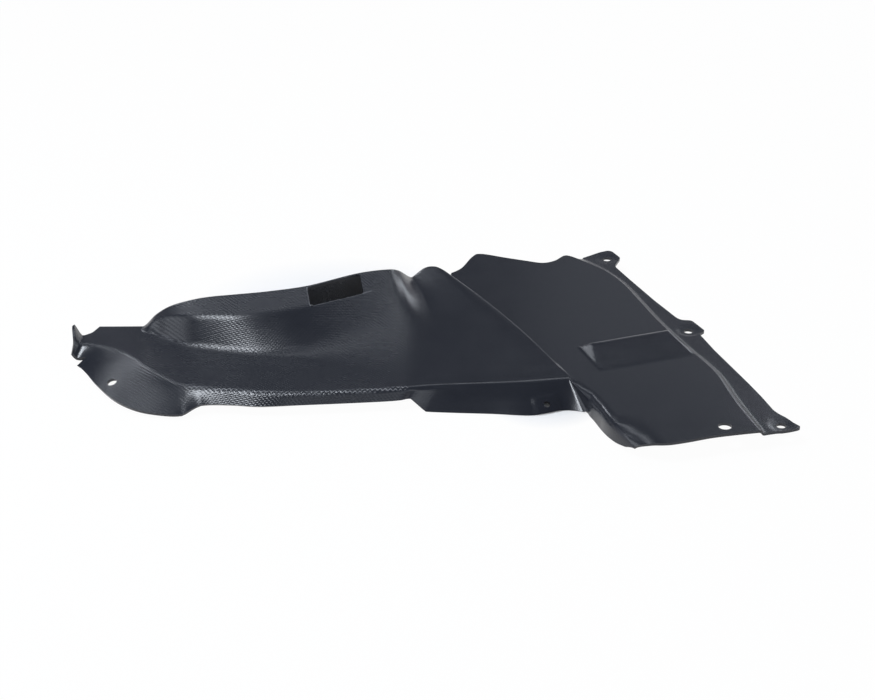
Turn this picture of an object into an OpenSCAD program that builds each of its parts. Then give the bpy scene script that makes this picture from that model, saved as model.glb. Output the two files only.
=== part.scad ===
// Wheel arch liner: one moulded sheet with a mound, a fin, a flat panel and a
// fixing flange. Z is up, X runs along the length, and the origin is at the
// centre of the ground rectangle that the liner covers.

/* [Sheet] */
// Thickness of the moulded sheet
wall = 2.4; // [1.8:0.1:3]
// Reach of the rounded edge between floor and skirt
edge_r = 4; // [3:0.5:6]
// Height of the gutter floor and the left panel
gutter_h = 18; // [16:1:24]

/* [Skirt] */
// Height of the raised lower edge of the short skirt
short_skirt_z = 9; // [6:0.5:12]
// Height of the outer edge of the left flange
left_flange_z = 5; // [3:0.5:8]
// Rise of the end flap
flap_rise = 13; // [6:1:18]

/* [Mound] */
// Rise of the mound above the gutter floor
mound_h = 34; // [24:1:44]
// Share of the rise that the steep face takes
face_share = 0.76; // [0.6:0.02:0.9]
// Rise of the fin above the gutter floor at the back
fin_h = 22; // [14:1:30]
// Lean of the back wall in plan
hem_lean = 4; // [2:0.5:8]

/* [Window] */
// Length of the cut-out in the mound
window_w = 54; // [30:1:60]
// Depth of the cut-out in plan
window_d = 22; // [12:1:25]
// Lean of the cut-out's short sides, in degrees
window_lean = 20; // [0:1:24]
// Corner radius of the cut-out
window_r = 2.5; // [1:0.5:5]

/* [Panel] */
// Height of the flat panel
panel_h = 18; // [15:1:22]
// Step from the panel down to the fixing flange
flange_drop = 4; // [2:0.5:6]
// Width of that step in plan
flange_step_w = 5; // [4:0.5:8]
// Drop of the panel at its rounded front corner
corner_drop = 10; // [6:0.5:12]

/* [Raised wedge] */
// Length of the raised wedge on the panel
wedge_w = 90; // [60:1:92]
// Depth of the wedge in plan
wedge_d = 50; // [30:1:56]
// Height of the wedge's top edge above the panel
wedge_rise = 6; // [3:0.5:9]
// Reach of its sloping left end in plan
wedge_left = 12; // [6:1:20]
// Reach of its steep right end in plan
wedge_right = 6.5; // [4:0.5:10]
// Reach of its steep back wall in plan
wedge_back = 5.5; // [4:0.5:10]

/* [Holes] */
// Bore in the left flange
left_bore = 9; // [5:0.5:12]
// Bore in the front skirt
skirt_bore = 6; // [4:0.5:8]
// Bore at the front of the panel
panel_bore = 11.5; // [6:0.5:14]
// Bore in each of the three tabs
tab_bore = 8.5; // [5:0.5:10]
// Width of the sunk seat around each tab's bore
seat_d = 19; // [12:0.5:22]
// Depth of that seat
seat_deep = 0.6; // [0.4:0.1:1]
// Width of the raised pad around the skirt's bore
pad_w = 22; // [12:1:26]
// Reach of that pad above the middle of the bore
pad_above = 9; // [6:0.5:12]
// Reach of that pad below the middle of the bore
pad_below = 6; // [5:0.5:6.5]
// How far the pad stands proud of the skirt
pad_proud = 0.8; // [0.4:0.1:1.2]

/* [Hidden] */
$fn = 64;

flange_z = panel_h - flange_drop;
top_z = gutter_h + mound_h;
// Centre of the ground rectangle in the plan lists below
plan_centre = [-3, 4];

// Feature lines: one entry a rib, from the left flap to the ridge of the fin

// Convex edge where the floor turns down into the skirt
crease_line = [
  [-312, -12], [-303, -10], [-288, -14], [-272, -22], [-259, -34], [-246, -51], [-230, -70],
  [-211, -86], [-194, -93], [-168, -97], [-142, -101], [-108, -103], [-60, -99], [-22, -94],
  [-10, -92], [8, -89], [61, -84], [92, -80], [112, -77], [122, -75]
];

// Lower edge of the left flange and of the skirt
skirt_line = [
  [-316, -27], [-309, -27], [-300, -40], [-288, -62], [-269, -90], [-248, -108], [-226, -116],
  [-208, -117], [-192, -107], [-167, -107], [-142, -110], [-106, -108], [-60, -104], [-26, -100],
  [-14, -96.5], [-1, -103], [55, -107], [91, -109.5], [118, -100.5], [137, -105]
];

// Ribs that carry the left flange, and ribs before the skirt reaches the ground
flange_ribs = 8;
raised_ribs = 15;
ribs = len(crease_line);
skirt_z = [for (k = [0:ribs - 1])
  k < flange_ribs ? left_flange_z : k < raised_ribs ? short_skirt_z : 0];

// Back edge of the sheet, which is the crest of the mound and of the fin
crest_line = [
  [-317, 27], [-310, 27], [-288, 27], [-270, 27], [-256, 27], [-244, 27], [-232, 27], [-215, 27],
  [-196, 28], [-168, 29], [-142, 32], [-108, 42], [-65, 66], [-38, 77], [-27, 87], [-15, 100],
  [-4, 107], [5, 106.5], [12, 102], [18, 96]
];

// Shares of the mound's and the fin's rise that the crest has reached
mound_rise = [0, 0, 0, 0, 0, 0.36, 0.6, 0.77, 0.87, 0.94, 0.98, 1, 1, 0.8, 0.5, 0, 0, 0, 0, 0];
fin_rise = [0, 0, 0, 0, 0, 0, 0, 0, 0, 0, 0, 0, 0.04, 0.3, 0.5, 0.68, 0.95, 1.04, 1, 0.91];

// Shares of the rib's length at which the mound starts and its steep face ends
foot_at = [0.55, 0.55, 0.6, 0.68, 0.75, 0.78, 0.72, 0.655, 0.61, 0.563, 0.534, 0.51, 0.46, 0.4,
  0.38, 0.34, 0.32, 0.31, 0.305, 0.3];
brow_at = [0.72, 0.72, 0.76, 0.82, 0.87, 0.89, 0.85, 0.8, 0.77, 0.745, 0.767, 0.8, 0.848, 0.87,
  0.86, 0.84, 0.8, 0.78, 0.765, 0.75];

// Shares of the rib's length over which the foot and the brow are blended
foot_blend = [0.03, 0.03, 0.03, 0.03, 0.03, 0.03, 0.03, 0.035, 0.035, 0.035, 0.04, 0.07, 0.2, 0.28,
  0.25, 0.15, 0.08, 0.04, 0.02, 0.012];
brow_blend = 0.025;

// Sideways bow of each rib
rib_bow = [0, 0, 0, 0, 0, 0, 0, 0, 0, 0, 0, 0, 0, 0, 4, 12, 9, 8, 8, 8];

// Height of the hem of the back wall, as a share of the gutter's height, and how far
// below the crest it ends at the least
hem_under = 2;
hem_rise = [0.4, 0.4, 0.4, 0.4, 0.35, 0.2, 0, 0, 0, 0, 0, 0, 0, 0, 0, 0.2, 0.5, 0.7, 0.85, 1];

// Columns between each pair of ribs
rib_columns = [2, 2, 2, 2, 2, 2, 2, 2, 3, 2, 3, 4, 3, 2, 3, 4, 3, 2, 2];

// Where the end flap folds up, and the reach of that fold along X and Y
flap_fold_x = -307;
flap_reach = [8, 22];

// Left edge of the panel along the ridge, from the front corner to the fin
panel_left = [
  [170, -180], [164, -168], [158, -155], [154, -143], [150, -133], [147, -124], [144, -117],
  [141.5, -111], [139, -106], [134, -96], [129, -85], [127.5, -81.5], [126, -78]
];
// Lower edge of the wall beside it: x, y, z
corner_hem = [
  [164, -173, 5], [157.5, -163, 3], [152, -152, 2], [148.5, -142, 1], [146, -133, 0],
  [143.5, -125, 0], [141, -117.5, 0], [138.5, -111, 0]
];
// Gap in plan between the fin's ridge and the panel, at the ridge's front and back end
ridge_gap = [[4, -1], [6, 3]];
// Front edge of the panel
panel_front = [[170, -180], [182, -186], [195, -189.5], [213, -185], [234, -177.5], [254, -172.5],
  [276, -168]];
// Back edge of the panel
panel_back = [[22, 138], [32, 149.5], [42.5, 175], [51, 181.5], [75, 172.5], [93, 166], [109, 161],
  [121, 166], [132, 178], [144, 170]];
// Convex edge between the panel and the fixing flange
flange_line = [[276, -168], [263, -122], [252, -70], [242, -42], [229, -13], [209, 37], [195, 80],
  [183, 116], [168, 144], [144, 170]];
// Place of each row of the panel along that edge
flange_rows = [0, 0.12, 0.35, 0.8, 1.25, 1.7, 2.15, 2.6, 3, 3.15, 3.3, 3.4, 3.5, 3.9, 4.2, 4.45,
  4.65, 4.85, 5.05, 5.3, 5.9, 6.5, 6.8, 7.2, 7.7, 8, 8.3, 8.65, 9];
// How far each row keeps the shape of the front and of the back edge
front_keep = [1, 0.75, 0.5, 0.25, 0.1];
back_keep = [0.03, 0.08, 0.16, 0.4, 0.6, 0.8, 0.92, 1];
// Share of the corner's fall that each row keeps, and its reach across the panel
corner_fall = [1, 0.45, 0.12];
corner_reach = 0.35;
// Columns across the panel
panel_columns = 14;
// Direction of the flange across its convex edge, and its columns beyond the step
flange_out = [0.91, 0.42];
flange_columns = [14, 23, 40];
// How much farther the flange's outer columns run at its back and front ends
flange_back_reach = 32;
flange_front_reach = 10;

// Plan outline of the fixing flange, its three tabs and the left end
trim_outline = [
  [-360, -240], [274, -240], [274, -169.5], [280, -165.5], [290, -162.5], [302, -160],
  [308.5, -157.5], [311, -154.5], [306, -148], [301, -139], [296, -133], [292, -126], [285, -102],
  [277, -78], [254, -14], [246, 12], [244, 17], [250, 24], [240, 45], [231, 46], [227, 50],
  [210, 86], [190, 133], [179, 160], [179, 165], [185, 181], [178, 196], [174, 198], [166, 194],
  [144.3, 177.2], [135.3, 215], [-295, 215], [-295, 24.5], [-300, 12.3], [-307, 6.2], [-311.3, 4.1],
  [-315, 3.2], [-322, 1.5], [-322, -15.5], [-313, -19.3], [-306, -21], [-301, -22], [-309, -27],
  [-330, -30], [-360, -80]
];

// Place of the bores on the slopes: rib, and share of the way up from the lower edge
left_bore_on = [3.6, 0.28];
skirt_bore_on = [17.4, 0.26];
// Places of the upright bores, and how far a cutting tool runs past the sheet
panel_bore_at = [247, -161];
tab_bores_at = [[295, -152], [235, 24], [172, 179]];
bore_reach = 15;
// Place and turn of the raised wedge and of the window
wedge_at = [184, -23.3];
wedge_turn = 20;
window_at = [-83, 39];
window_turn = 30;

lower_rows = len(corner_hem);

function clamp01(v) = min(1, max(0, v));
function smooth(v) = let (c = clamp01(v)) c * c * (3 - 2 * c);
function unit(v) = v / norm(v);
function mix(a, b, t) = a + (b - a) * t;

// Smooth curve through a list of numbers or points at place u
function curve_at(list, u) =
  let (
    n = len(list),
    k = min(n - 2, max(0, floor(u))),
    t = u - k,
    a = list[max(0, k - 1)],
    b = list[k],
    c = list[k + 1],
    d = list[min(n - 1, k + 2)]
  )
  b + 0.5 * t * (c - a + t * (2 * a - 5 * b + 4 * c - d + t * (3 * b - a - 3 * c + d)));

// Straight lines through a list at place u
function line_at(list, u) =
  let (k = min(len(list) - 2, max(0, floor(u)))) mix(list[k], list[k + 1], u - k);

// A ramp that starts at zero and is rounded over r to each side of its start
function ramp(d, r) = d < -r ? 0 : d > r ? d : (d + r) * (d + r) / (4 * r);

// Three points that round the corner c between a and b
function corner_points(a, c, b, r) =
  let (
    p = c + unit(a - c) * min(r, 0.45 * norm(a - c)),
    q = c + unit(b - c) * min(r, 0.45 * norm(b - c))
  )
  [p, (p + 2 * c + q) / 4, q];

// Rise of the mound along a rib, from 0 at its foot to 1 at its crest
function mound_profile(w, foot, brow, blend) =
  let (
    steep = face_share / (brow - foot),
    gentle = (1 - face_share) / (1 - brow)
  )
  steep * ramp(w - foot, blend) + (gentle - steep) * ramp(w - brow, brow_blend);

// Lift of the end flap at a place in plan
function flap_lift(x, y) =
  flap_rise * smooth((flap_fold_x - x) / flap_reach.x) * smooth(y / flap_reach.y + 1);

// Point at share w of the rib at place u, from the crease to the crest
function floor_point(u, w) =
  let (
    c = curve_at(crease_line, u),
    e = curve_at(crest_line, u),
    bow = curve_at(rib_bow, u) * 4 * w * (1 - w),
    blend = max(0.01, curve_at(foot_blend, u)),
    mound = mound_h * max(0, curve_at(mound_rise, u)),
    fin = fin_h * max(0, curve_at(fin_rise, u)),
    x = mix(c.x, e.x, w) + bow,
    y = mix(c.y, e.y, w)
  )
  [x, y, gutter_h + flap_lift(x - bow, y) + fin * ramp(w - 0.04, 0.04) / 0.96
    + mound * mound_profile(w, curve_at(foot_at, u), curve_at(brow_at, u), blend)];

// Point of the skirt's lower edge, which steps down in a straight line, and a point at
// share w up the slope above it
function skirt_point(u) =
  let (
    steps_down = u > raised_ribs - 1 && u < raised_ribs,
    s = steps_down ? line_at(skirt_line, u) : curve_at(skirt_line, u)
  )
  [s.x, s.y, line_at(skirt_z, u)];
function slope_point(u, w) = mix(skirt_point(u), floor_point(u, 0), w);

// One rib at place u: its points from the skirt's lower edge to the back wall's hem
function rib(u) =
  let (
    foot = curve_at(foot_at, u),
    brow = curve_at(brow_at, u),
    blend = max(0.01, curve_at(foot_blend, u)),
    skirt = skirt_point(u),
    crease = floor_point(u, 0),
    crest = floor_point(u, 1),
    out = unit([crest.x - crease.x, crest.y - crease.y]) * hem_lean,
    hem_z = min(gutter_h * line_at(hem_rise, u), crest.z - hem_under),
    hem = [crest.x + out.x, crest.y + out.y, hem_z],
    front = corner_points(skirt, crease, floor_point(u, foot - blend), edge_r),
    back = corner_points(floor_point(u, brow + brow_blend), crest, hem, edge_r)
  )
  concat(
    [skirt, mix(skirt, front[0], 0.5)],
    front,
    [for (w = [0.36, 0.7]) floor_point(u, (foot - blend) * w)],
    [for (w = [-1, -0.33, 0.33, 1]) floor_point(u, foot + blend * w)],
    [for (w = [0.33, 0.67]) floor_point(u, mix(foot + blend, brow - brow_blend, w))],
    [for (w = [-1, 1]) floor_point(u, brow + brow_blend * w)],
    [floor_point(u, mix(brow + brow_blend, 1, 0.5))],
    back,
    [mix(back[2], hem, 0.5), hem]
  );

places = concat(
  [for (k = [0:len(rib_columns) - 1]) for (m = [0:rib_columns[k] - 1]) k + m / rib_columns[k]],
  [ribs - 1]
);
body = [for (u = places) rib(u)];
body_last = len(body) - 1;
upper_rows = len(body[0]);
rows = lower_rows + upper_rows;
ridge = body[body_last];

// Left edge of the panel in row j: along the corner, then beside the fin's ridge
function panel_start(j) =
  j < len(panel_left) ? panel_left[j] :
  let (
    r = ridge[j - lower_rows],
    gap = mix(ridge_gap[0], ridge_gap[1], (j - len(panel_left)) / (rows - len(panel_left)))
  )
  [r.x + gap.x, r.y + gap.y];

function front_at(u) = curve_at(panel_front, u * (len(panel_front) - 1));
function back_at(u) = curve_at(panel_back, u * (len(panel_back) - 1));

// Point of the panel at share u across row j
function panel_point(u, j) =
  let (
    flange_last = flange_line[len(flange_line) - 1],
    f = j < len(front_keep) ? front_keep[j] : 0,
    k = j - (rows - len(back_keep)),
    g = k >= 0 ? back_keep[k] : 0,
    front_off = front_at(u) - mix(panel_start(0), flange_line[0], u),
    back_off = back_at(u) - mix(panel_start(rows - 1), flange_last, u),
    across = mix(panel_start(j), curve_at(flange_line, flange_rows[j]), u),
    xy = across + front_off * f + back_off * g,
    fall = j < len(corner_fall) ? corner_fall[j] : 0,
    drop = corner_drop * fall * pow(1 - clamp01(u / corner_reach), 2)
  )
  [xy.x, xy.y, panel_h - drop];

// Outer column of the panel: the lower edge of its wall, then the ridge of the fin
function panel_hem(j) = j < lower_rows ? corner_hem[j] : ridge[j - lower_rows];

function panel_row(j) =
  let (
    hem = panel_hem(j),
    start = panel_point(0, j),
    edge = panel_point(1, j),
    back_reach = flange_back_reach * smooth((j - rows + 5) / 4),
    front_reach = flange_front_reach * smooth((3 - j) / 3),
    high = j < lower_rows + 4 ? 0.85 : 0.5,
    step = [flange_out.x, flange_out.y] * flange_step_w
  )
  concat(
    [hem, [mix(hem.x, start.x, 0.6), mix(hem.y, start.y, 0.6), mix(hem.z, start.z, high)]],
    [for (m = [0:panel_columns]) panel_point(m / panel_columns, j)],
    [[edge.x + step.x, edge.y + step.y + back_reach / 5 - front_reach, flange_z]],
    [for (o = flange_columns)
      [edge.x + flange_out.x * o, edge.y + flange_out.y * o + back_reach - front_reach, flange_z]]
  );

panel = [for (j = [0:rows - 1]) panel_row(j)];
panel_last = len(panel[0]) - 1;

// The whole grid: column i, row j; the lower rows exist only in the panel
columns = body_last + panel_last + 1;
function first_column(j) = j < lower_rows ? body_last : 0;
function first_row(i) = i < body_last ? lower_rows : 0;
function outer(i, j) = i < body_last ? body[i][j - lower_rows] : panel[j][i - body_last];

function normal_at(i, j) =
  let (
    du = outer(min(i + 1, columns - 1), j) - outer(max(i - 1, first_column(j)), j),
    dv = outer(i, min(j + 1, rows - 1)) - outer(i, max(j - 1, first_row(i)))
  )
  unit(cross(du, dv));

// Inner face: the outer face moved in by the wall, level along the lower edges
function inner(i, j) =
  let (
    p = outer(i, j),
    n = normal_at(i, j),
    on_ground = p.z < 1,
    q = p - wall * (on_ground ? unit([n.x, n.y, 0]) : n)
  )
  [q.x, q.y, max(0, q.z)];

function corner_id(i, j) = j < lower_rows
  ? j * (panel_last + 1) + i - body_last
  : lower_rows * (panel_last + 1) + (j - lower_rows) * columns + i;

corners = [for (j = [0:rows - 1]) for (i = [first_column(j):columns - 1]) [i, j]];
corner_count = len(corners);
cells = [for (j = [0:rows - 2]) for (i = [first_column(j):columns - 2]) [i, j]];

// Faces that close the edge of the sheet between two neighbouring corners
function rim(p, q) = [[p, q, q + corner_count], [p, q + corner_count, p + corner_count]];

function cell_faces(i, j) =
  let (
    a = corner_id(i, j),
    b = corner_id(i + 1, j),
    c = corner_id(i + 1, j + 1),
    d = corner_id(i, j + 1),
    n = corner_count
  )
  concat(
    [[a, d, c], [a, c, b], [n + a, n + c, n + d], [n + a, n + b, n + c]],
    j == first_row(i) ? rim(a, b) : [],
    j == rows - 2 ? rim(c, d) : [],
    i == first_column(j) ? rim(d, a) : [],
    i == columns - 2 ? rim(b, c) : []
  );

module sheet() {
  polyhedron(
    points = concat([for (k = corners) outer(k[0], k[1])], [for (k = corners) inner(k[0], k[1])]),
    faces = [for (k = cells) each cell_faces(k[0], k[1])]
  );
}

// Places its children on the slope below the crease, square to the slope, with
// their X axis pointing down it
module on_slope(on) {
  at = slope_point(on[0], on[1]);
  along = slope_point(on[0] + 0.2, on[1]) - slope_point(on[0] - 0.2, on[1]);
  up = slope_point(on[0], on[1] + 0.1) - slope_point(on[0], on[1] - 0.1);
  n = unit(cross(along, up));
  translate(at) rotate([0, acos(n.z), atan2(n.y, n.x)]) children();
}

module bore(d) {
  translate([0, 0, -bore_reach]) cylinder(h = 2 * bore_reach, d = d);
}

// Raised pad around the bore of the skirt
module pad() {
  on_slope(skirt_bore_on)
    translate([-pad_above, -pad_w / 2, -wall / 2])
      cube([pad_above + pad_below, pad_w, wall / 2 + pad_proud]);
}

// How far a slope of that reach is drawn in for each millimetre of wall
function draw_in(reach) = tan(atan(wedge_rise / reach) / 2);

// Raised wedge with its four slopes run on down to the given level. Drawn in by the wall,
// it is the hollow below.
module wedge(inset, bottom) {
  wedge_front = wedge_d - wedge_back;
  x0 = inset * draw_in(wedge_left) - wedge_w / 2;
  x1 = wedge_w / 2 - inset * draw_in(wedge_right);
  y0 = inset * draw_in(wedge_front) - wedge_d / 2;
  y1 = wedge_d / 2 - inset * draw_in(wedge_back);
  share = (y1 - y0) / wedge_d;
  left = x0 + wedge_left * share;
  right = x1 - wedge_right * share;
  y = y1 - wedge_back * share;
  top = panel_h - inset + wedge_rise * share;
  run = (top - bottom) / wedge_rise;
  translate([wedge_at.x, wedge_at.y, 0])
    rotate([0, 0, wedge_turn])
      polyhedron(
        points = [
          [left - wedge_left * run, y - wedge_front * run, bottom],
          [right + wedge_right * run, y - wedge_front * run, bottom],
          [right + wedge_right * run, y + wedge_back * run, bottom],
          [left - wedge_left * run, y + wedge_back * run, bottom],
          [left, y, top],
          [right, y, top]
        ],
        faces = [[0, 1, 2, 3], [0, 4, 5, 1], [2, 5, 4, 3], [3, 4, 0], [1, 5, 2]]
      );
}

// Bore of a tab with its sunk seat
module seated_bore(at) {
  translate([at.x, at.y, flange_z]) {
    bore(tab_bore);
    translate([0, 0, -seat_deep]) cylinder(h = bore_reach, d = seat_d);
  }
}

module window() {
  x = window_w / 2;
  y = window_d / 2;
  shift = y * tan(window_lean);
  translate([window_at.x, window_at.y, gutter_h + mound_h / 3])
    rotate([0, 0, window_turn])
      linear_extrude(mound_h)
        offset(r = window_r) offset(delta = -window_r)
          polygon([[-x - shift, -y], [x - shift, -y], [x + shift, y], [-x + shift, y]]);
}

module arch_liner() {
  color("#31343a")
  translate([-plan_centre.x, -plan_centre.y, 0])
  difference() {
    union() {
      intersection() {
        sheet();
        translate([0, 0, -wall]) linear_extrude(top_z + 2 * wall) polygon(trim_outline);
      }
      pad();
      wedge(0, panel_h - wall / 2);
    }
    wedge(wall, panel_h - 1.5 * wall);
    on_slope(left_bore_on) bore(left_bore);
    on_slope(skirt_bore_on) bore(skirt_bore);
    translate([panel_bore_at.x, panel_bore_at.y, panel_h]) bore(panel_bore);
    for (at = tab_bores_at) seated_bore(at);
    window();
  }
}

arch_liner();
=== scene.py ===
import math
import bpy
import numpy as np
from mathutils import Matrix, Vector

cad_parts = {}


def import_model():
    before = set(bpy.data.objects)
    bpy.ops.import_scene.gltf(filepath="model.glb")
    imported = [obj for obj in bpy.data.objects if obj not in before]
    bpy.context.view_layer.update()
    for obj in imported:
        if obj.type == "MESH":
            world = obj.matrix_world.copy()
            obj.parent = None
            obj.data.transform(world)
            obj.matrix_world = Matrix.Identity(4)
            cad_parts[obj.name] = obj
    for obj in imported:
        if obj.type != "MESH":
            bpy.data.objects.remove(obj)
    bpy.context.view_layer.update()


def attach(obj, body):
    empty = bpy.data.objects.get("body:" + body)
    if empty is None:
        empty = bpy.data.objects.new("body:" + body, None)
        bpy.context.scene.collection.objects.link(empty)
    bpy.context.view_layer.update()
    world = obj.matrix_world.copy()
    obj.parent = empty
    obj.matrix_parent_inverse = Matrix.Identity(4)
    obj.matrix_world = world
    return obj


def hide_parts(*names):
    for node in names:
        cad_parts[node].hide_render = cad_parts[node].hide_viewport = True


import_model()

mm = 0.001
print("frame loaded")

# Sizes of the liner in millimetres. Names with Share are shares of a length beside them
liner = {
    "wall": 2.4, "edge": 4.0, "edgeShare": 0.45, "gutter": 18.0, "shortSkirt": 9.0,
    "leftFlange": 5.0, "flapRise": 13.0, "flapFold": -307.0, "flapReach": (8.0, 22.0),
    "mound": 34.0, "faceShare": 0.76, "fin": 22.0, "finStart": 0.04,
    "hemLean": 4.0, "hemUnder": 2.0, "browBlend": 0.025,
    "panel": 18.0, "flangeDrop": 4.0, "stepWidth": 5.0, "stepRound": 1.7,
    "cornerDrop": 10.0, "cornerReach": 0.35, "wallRound": 6.0,
    "ridgeGap": ((4.0, -1.0), (6.0, 3.0)),  # from the ridge to the panel, in front and behind
    "flangeOut": (0.91, 0.42), "flangeColumns": (14.0, 23.0, 40.0),
    "flangeBack": 32.0, "flangeFront": 10.0, "footShare": 0.2, "beyondShare": 0.25,
    "planCentre": (-3.0, 4.0), "raisedRibs": 15,
}
wedgeSize = {"length": 90.0, "depth": 47.0, "rise": 6.2, "left": 12.0, "right": 6.5, "back": 5.5,
             "at": (184.0, -23.3), "turn": 20.0, "soft": 0.05, "foot": 0.1,
             "rim": (4.5, 0.0375)}  # reach and slope of the rounding along the top edge
windowSize = {"length": 54.0, "depth": 22.0, "corner": 2.5, "at": (-83.0, 39.0), "turn": 30.0,
              "lean": 20.0, "toolTop": 90.0,
              "burr": (1.9, 1.1, 1.3), "burrInside": (1.2, 0.3), "burrTilt": (0.3, 0.2)}

# Feature lines, one entry a rib, from the left flap to the ridge of the fin. The lists of
# single numbers give, for each rib, the share of the mound's or the fin's height, the places of
# the mound's foot and brow and how softly the foot bends, how far the rib bows to the right,
# the hem's height as a share of the gutter's, and the number of columns up to the next rib
creaseLine = [(-312, -12), (-303, -10), (-288, -14), (-272, -22), (-259, -34), (-246, -51),
              (-230, -70), (-211, -86), (-194, -93), (-168, -97), (-142, -101), (-108, -103),
              (-60, -99), (-22, -94), (-10, -92), (8, -89), (61, -84), (92, -80), (112, -77),
              (122, -75)]
skirtLine = [(-316, -27), (-309, -27), (-300, -40), (-288, -62), (-269, -90), (-248, -108),
             (-226, -116), (-208, -117), (-192, -107), (-167, -107), (-142, -110), (-106, -108),
             (-60, -104), (-26, -100), (-14, -96.5), (-1, -103), (55, -107), (91, -109.5),
             (118, -100.5), (137, -105)]
skirtHeight = [liner["leftFlange"]] * 8 + [liner["shortSkirt"]] * 7 + [0.0] * 5
crestLine = [(-317, 27), (-310, 27), (-288, 27), (-270, 27), (-256, 27), (-244, 27), (-232, 27),
             (-215, 27), (-196, 28), (-168, 29), (-142, 32), (-108, 42), (-65, 66), (-38, 77),
             (-27, 87), (-15, 100), (-4, 107), (5, 106.5), (12, 102), (18, 96)]
moundRise = [0, 0, 0, 0, 0, 0.36, 0.6, 0.77, 0.87, 0.94, 0.98, 1, 1, 0.8, 0.5, 0, 0, 0, 0, 0]
finRise = [0, 0, 0, 0, 0, 0, 0, 0, 0, 0, 0, 0, 0.04, 0.3, 0.5, 0.68, 0.95, 1.04, 1, 0.91]
footAt = [0.55, 0.55, 0.6, 0.68, 0.75, 0.78, 0.72, 0.655, 0.61, 0.563, 0.534, 0.51, 0.46, 0.4,
          0.38, 0.34, 0.32, 0.31, 0.305, 0.3]
browAt = [0.72, 0.72, 0.76, 0.82, 0.87, 0.89, 0.85, 0.8, 0.77, 0.745, 0.767, 0.8, 0.848, 0.87,
          0.86, 0.84, 0.8, 0.78, 0.765, 0.75]
footBlend = [0.03, 0.03, 0.03, 0.03, 0.03, 0.03, 0.03, 0.035, 0.035, 0.035, 0.04, 0.07, 0.2,
             0.28, 0.25, 0.15, 0.08, 0.04, 0.02, 0.012]
ribBow = [0] * 14 + [4, 12, 9, 8, 8, 8]
hemRise = [0.4, 0.4, 0.4, 0.4, 0.35, 0.2, 0, 0, 0, 0, 0, 0, 0, 0, 0, 0.2, 0.5, 0.7, 0.85, 1]
ribSteps = [6, 8, 10, 10, 10, 12, 12, 10, 14, 12, 18, 24, 18, 8, 14, 26, 16, 10, 6]

# Lines of the panel: its left edge, the foot of its left wall, its front and back edges, and the
# edge above the flange with the place on it that each row meets
panelLeft = [(170, -180), (164, -168), (158, -155), (154, -143), (150, -133), (147, -124),
             (144, -117), (141.5, -111), (139, -106), (134, -96), (129, -85), (127.5, -81.5),
             (126, -78)]
cornerHem = [(164, -173, 5), (157.5, -163, 3), (152, -152, 2), (148.5, -142, 1), (146, -133, 0),
             (143.5, -125, 0), (141, -117.5, 0), (138.5, -111, 0)]
panelFront = [(170, -180), (182, -186), (195, -189.5), (213, -185), (234, -177.5),
              (254, -172.5), (276, -168)]
panelBack = [(22, 138), (32, 149.5), (42.5, 175), (51, 181.5), (75, 172.5), (93, 166), (109, 161),
             (121, 166), (132, 178), (144, 170)]
flangeLine = [(276, -168), (263, -122), (252, -70), (242, -42), (229, -13), (209, 37),
              (195, 80), (183, 116), (168, 144), (144, 170)]
flangeRows = [0, 0.12, 0.35, 0.8, 1.25, 1.7, 2.15, 2.6, 3, 3.15, 3.3, 3.4, 3.5, 3.9, 4.2, 4.38,
              4.46, 4.54, 4.64, 5.0, 5.7, 6.4, 6.8, 7.2, 7.7, 8, 8.3, 8.65, 9]
rowCount = len(flangeRows)

# How far each row follows the front edge, the back edge and the fall at the front corner
frontKeep = [1, 0.75, 0.5, 0.25, 0.1] + [0] * (rowCount - 5)
backKeep = [0] * (rowCount - 8) + [0.03, 0.08, 0.16, 0.4, 0.6, 0.8, 0.92, 1]
cornerFall = [1, 0.45, 0.12] + [0] * (rowCount - 3)
lowerRows = len(cornerHem)

# The outline that trims the sheet, wide of it where the sheet's own edges stay
trimOutline = [(-360, -240), (274, -240), (274, -169.5), (280, -165.5), (290, -162.5),
               (302, -160), (308.5, -157.5), (311, -154.5), (306, -148), (301, -139),
               (296, -133), (292, -126), (285, -102), (277, -78), (254, -14), (246, 12),
               (244, 17), (250, 24), (240, 45), (231, 46), (227, 50), (210, 86), (190, 133),
               (179, 160), (179, 165), (185, 181), (178, 196), (174, 198), (166, 194),
               (144.3, 177.2), (135.3, 215), (-295, 215), (-295, 24.5), (-300, 12.3),
               (-307, 6.2), (-311.3, 4.1), (-315, 3.2), (-322, 1.5), (-322, -15.5),
               (-313, -19.3), (-306, -21), (-301, -22), (-309, -27), (-330, -30), (-360, -80)]


def smooth(v):
    c = np.clip(v, 0, 1)
    return c * c * (3 - 2 * c)


def mix(a, b, t):
    return a + (b - a) * t


def unit(v):
    return v / np.linalg.norm(v, axis=-1, keepdims=True)


def neighbours(table, u):  # the list as an array, the entry before place u, the share past it
    rows = np.asarray(table, float)
    u = np.asarray(u, float)
    k = np.clip(np.floor(u).astype(int), 0, len(rows) - 2)
    t = u - k
    return rows, k, t[..., None] if rows.ndim > 1 else t


def curveAt(table, u):  # smooth curve through a list at place u
    rows, k, t = neighbours(table, u)
    a, b = rows[np.maximum(k - 1, 0)], rows[k]
    c, d = rows[k + 1], rows[np.minimum(k + 2, len(rows) - 1)]
    return b + 0.5 * t * (c - a + t * (2 * a - 5 * b + 4 * c - d + t * (3 * b - a - 3 * c + d)))


def lineAt(table, u):  # straight lines through a list at place u
    rows, k, t = neighbours(table, u)
    return mix(rows[k], rows[k + 1], t)


def ramp(d, r):  # 0 below zero and d above it, with a soft change over r to both sides
    return np.where(d < -r, 0, np.where(d > r, d, (d + r) ** 2 / (4 * r)))


def bend(a, c, b, t):  # rounds the corner c between a and b
    return a * (1 - t) ** 2 + 2 * c * t * (1 - t) + b * t * t


def footRound(u):  # how softly the mound's foot bends
    return np.maximum(0.01, curveAt(footBlend, u))


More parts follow.
